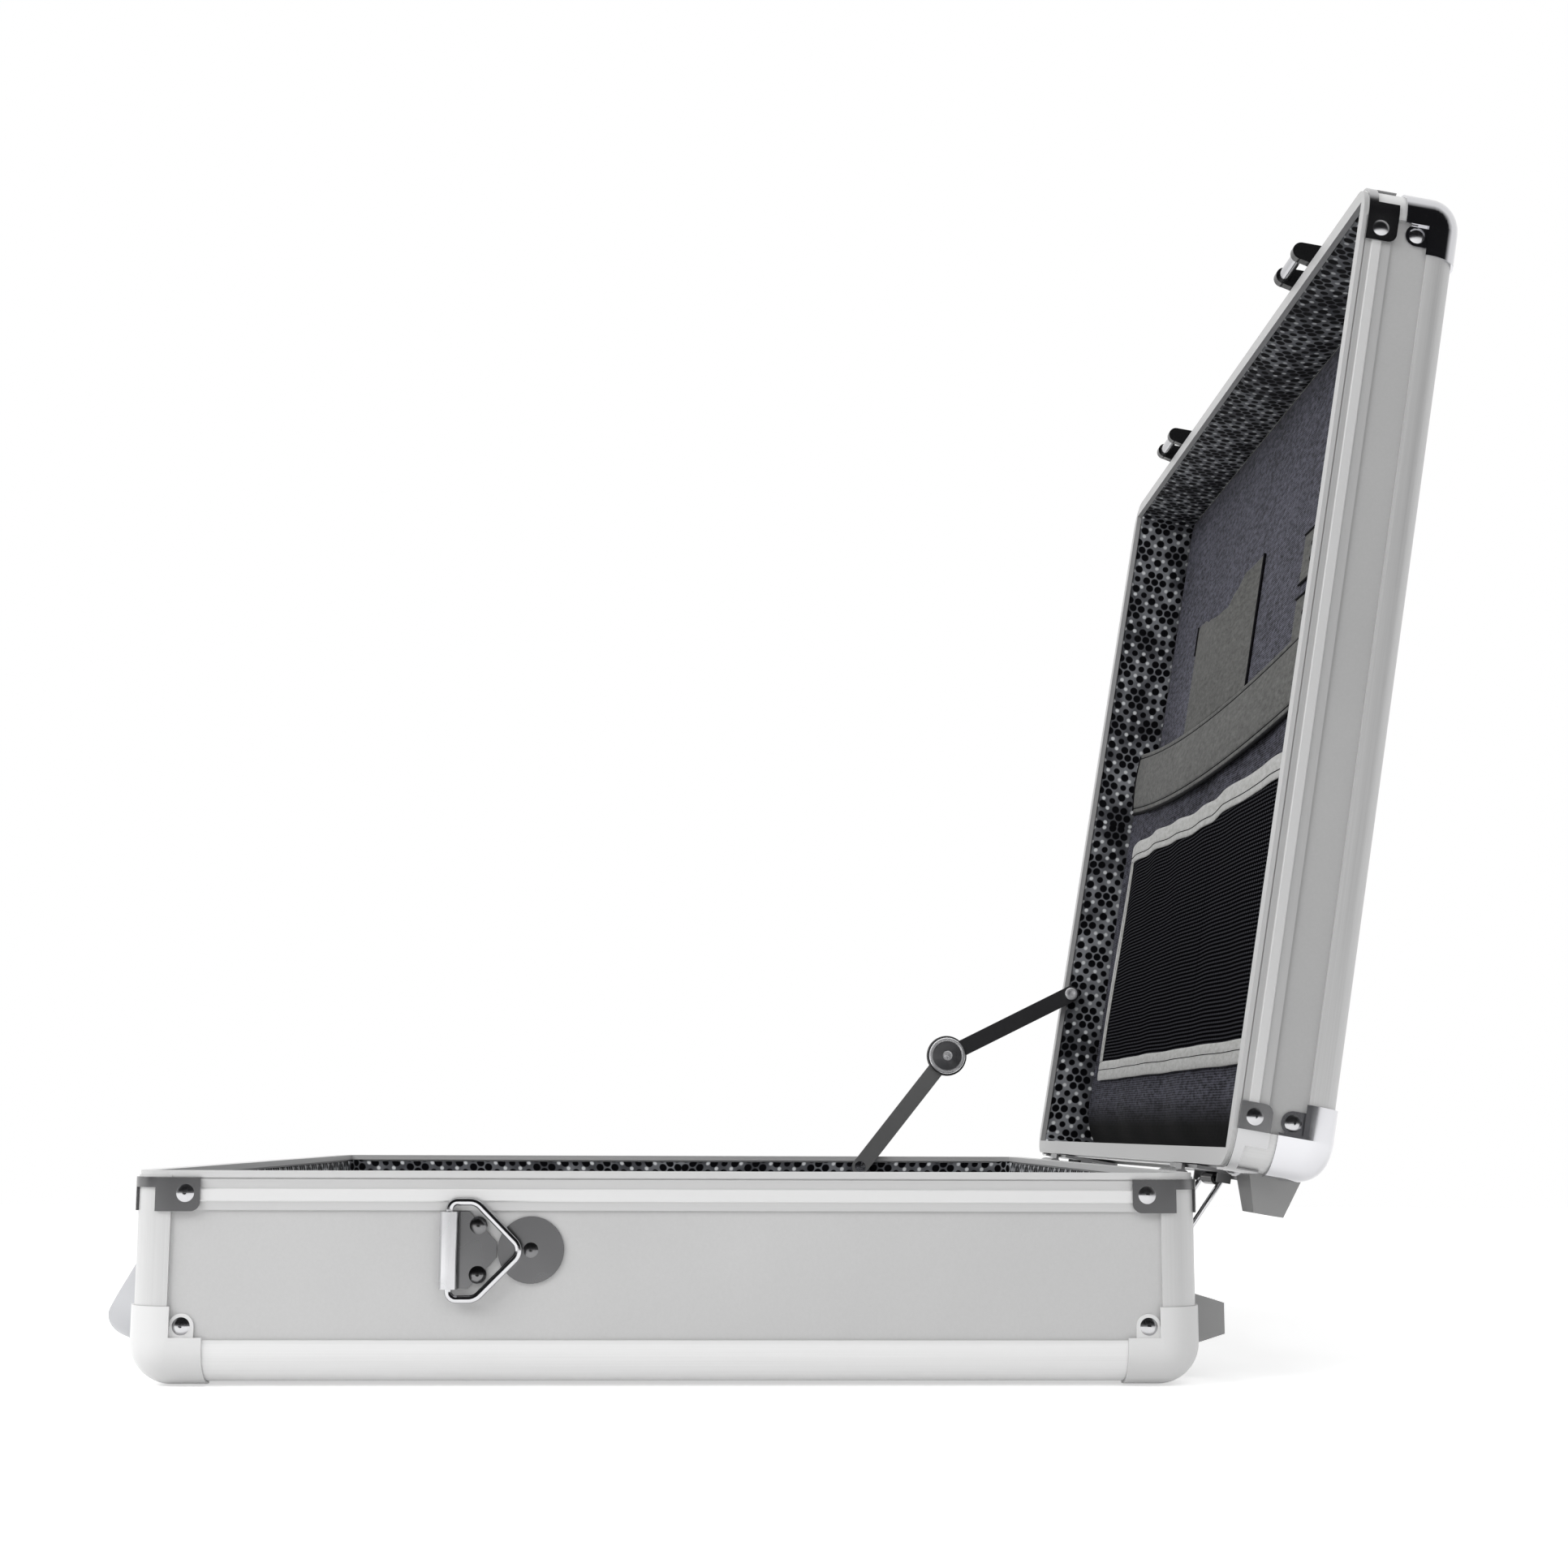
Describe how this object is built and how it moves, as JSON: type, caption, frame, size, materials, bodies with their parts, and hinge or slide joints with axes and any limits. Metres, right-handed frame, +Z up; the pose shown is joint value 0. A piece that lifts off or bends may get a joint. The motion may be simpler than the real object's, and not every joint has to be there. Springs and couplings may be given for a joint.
{
  "type": "laptop hard case",
  "caption": "Framed hard case for a laptop: a lined tray and a hinged lid with pockets, with a folding stay, hasp latches, a carrying handle and strap rings.",
  "frame": {"origin": "middle of the base, level with the underside of its lower corner caps", "axes": "+X to the side with the near strap ring, -Y to the front with the handle, +Z up; the lid stands open"},
  "size_m": [0.4398, 0.4771, 0.4134],
  "materials": {
    "silver_board": "satin silver-faced fibreboard",
    "anodised_bar": "satin anodised aluminium extrusion",
    "chromed_steel": "polished chromed steel pressing",
    "bright_rivet": "polished domed rivet",
    "honeycomb_lining": "black fabric lining with a honeycomb pattern",
    "foot_plastic": "moulded grey plastic",
    "handle_plastic": "satin moulded plastic",
    "black_plastic": "gloss black plastic",
    "bail_wire": "plated steel wire",
    "stay_steel": "dark plated steel strip",
    "slate_fabric": "woven slate-grey nylon",
    "grey_fabric": "woven grey nylon",
    "black_mesh": "ribbed black mesh",
    "light_binding": "light grey binding tape"
  },
  "bodies": {
    "base": {"base_bottom_board": "silver_board", "base_front_panel": "silver_board", "base_back_panel": "silver_board", "base_right_panel": "silver_board", "base_left_panel": "silver_board", "base_edge_bars": "anodised_bar", "base_corner_posts": "anodised_bar", "base_corner_caps": "chromed_steel", "base_corner_clips": "chromed_steel", "base_rim_frame": "anodised_bar", "base_rivets": "bright_rivet", "base_lining": "honeycomb_lining", "base_floor_pad": "honeycomb_lining", "base_rear_feet": "foot_plastic", "handle_brackets": "chromed_steel", "handle_pins": "bright_rivet", "latch_bodies": "chromed_steel", "latch_pins": "bright_rivet", "ring_plates": "chromed_steel", "ring_discs": "chromed_steel", "hinge_base_leaves": "chromed_steel", "hinge_pins": "bright_rivet", "stay_base_pivot": "bright_rivet"},
    "lid": {"lid_top_board": "silver_board", "lid_front_panel": "silver_board", "lid_back_panel": "silver_board", "lid_right_panel": "silver_board", "lid_left_panel": "silver_board", "lid_edge_bars": "anodised_bar", "lid_corner_posts": "anodised_bar", "lid_corner_caps": "chromed_steel", "lid_corner_clips": "chromed_steel", "lid_rim_frame": "anodised_bar", "lid_rivets": "bright_rivet", "lid_lining": "honeycomb_lining", "lid_rear_feet": "foot_plastic", "latch_keepers": "chromed_steel", "keeper_cheeks": "black_plastic", "keeper_rollers": "bright_rivet", "hinge_lid_leaves": "chromed_steel", "bail_sleeves": "black_plastic", "stay_lid_stud": "bright_rivet", "organiser_panel": "slate_fabric", "document_pocket": "slate_fabric", "pocket_band": "grey_fabric", "mesh_pocket": "black_mesh", "mesh_binding": "light_binding", "card_pocket": "grey_fabric", "pen_loops": "grey_fabric"},
    "handle": {"handle_grip": "handle_plastic"},
    "hasp_right": {"latch_hasp_right": "chromed_steel"},
    "hasp_left": {"latch_hasp_left": "chromed_steel"},
    "ring_right": {"strap_ring_right": "chromed_steel"},
    "ring_left": {"strap_ring_left": "chromed_steel"},
    "stay_lower": {"stay_lower_arm": "stay_steel"},
    "stay_upper": {"stay_upper_arm": "stay_steel", "stay_elbow_cover": "chromed_steel"},
    "bail_right": {"hinge_bail_right": "bail_wire"},
    "bail_left": {"hinge_bail_left": "bail_wire"}
  },
  "joints": [
    {"name": "lid_hinge", "type": "hinge", "parent": "base", "child": "lid", "pos_m": [0, 0.1752, 0.0644], "axis": [1, 0, 0], "range_deg": [0, 99.7]},
    {"name": "handle_hinge", "type": "hinge", "parent": "base", "child": "handle", "pos_m": [0, -0.18, 0.051], "axis": [-1, 0, 0], "range_deg": [0, 110]},
    {"name": "hasp_right_hinge", "type": "hinge", "parent": "base", "child": "hasp_right", "pos_m": [0.118, -0.177, 0.046], "axis": [-1, 0, 0], "range_deg": [0, 172]},
    {"name": "hasp_left_hinge", "type": "hinge", "parent": "base", "child": "hasp_left", "pos_m": [-0.118, -0.177, 0.046], "axis": [-1, 0, 0], "range_deg": [0, 172]},
    {"name": "ring_right_swivel", "type": "hinge", "parent": "base", "child": "ring_right", "pos_m": [0.21685, -0.0693, 0.0424], "axis": [0, 0, -1], "range_deg": [0, 160]},
    {"name": "ring_left_swivel", "type": "hinge", "parent": "base", "child": "ring_left", "pos_m": [-0.21685, -0.0693, 0.0424], "axis": [0, 0, 1], "range_deg": [0, 160]},
    {"name": "stay_base_hinge", "type": "hinge", "parent": "base", "child": "stay_lower", "pos_m": [-0.2065, 0.089, 0.062], "axis": [1, 0, 0], "range_deg": [0, 124.99]},
    {"name": "stay_elbow_hinge", "type": "hinge", "parent": "stay_lower", "child": "stay_upper", "pos_m": [-0.2046, 0.13268, 0.11709], "axis": [1, 0, 0], "range_deg": [-147.98, 0]},
    {"name": "bail_right_hinge", "type": "hinge", "parent": "lid", "child": "bail_right", "pos_m": [0.145, 0.18902, 0.06396], "axis": [1, 0, 0], "range_deg": [-66.51, 0]},
    {"name": "bail_left_hinge", "type": "hinge", "parent": "lid", "child": "bail_left", "pos_m": [-0.145, 0.18902, 0.06396], "axis": [1, 0, 0], "range_deg": [-66.51, 0]}
  ],
  "couplings": [
    {"joint": "stay_base_hinge", "follows": "lid_hinge", "ratio": 1.2536},
    {"joint": "stay_elbow_hinge", "follows": "lid_hinge", "ratio": -1.4842},
    {"joint": "bail_right_hinge", "follows": "lid_hinge", "ratio": -0.66701},
    {"joint": "bail_left_hinge", "follows": "lid_hinge", "ratio": -0.66701}
  ]
}
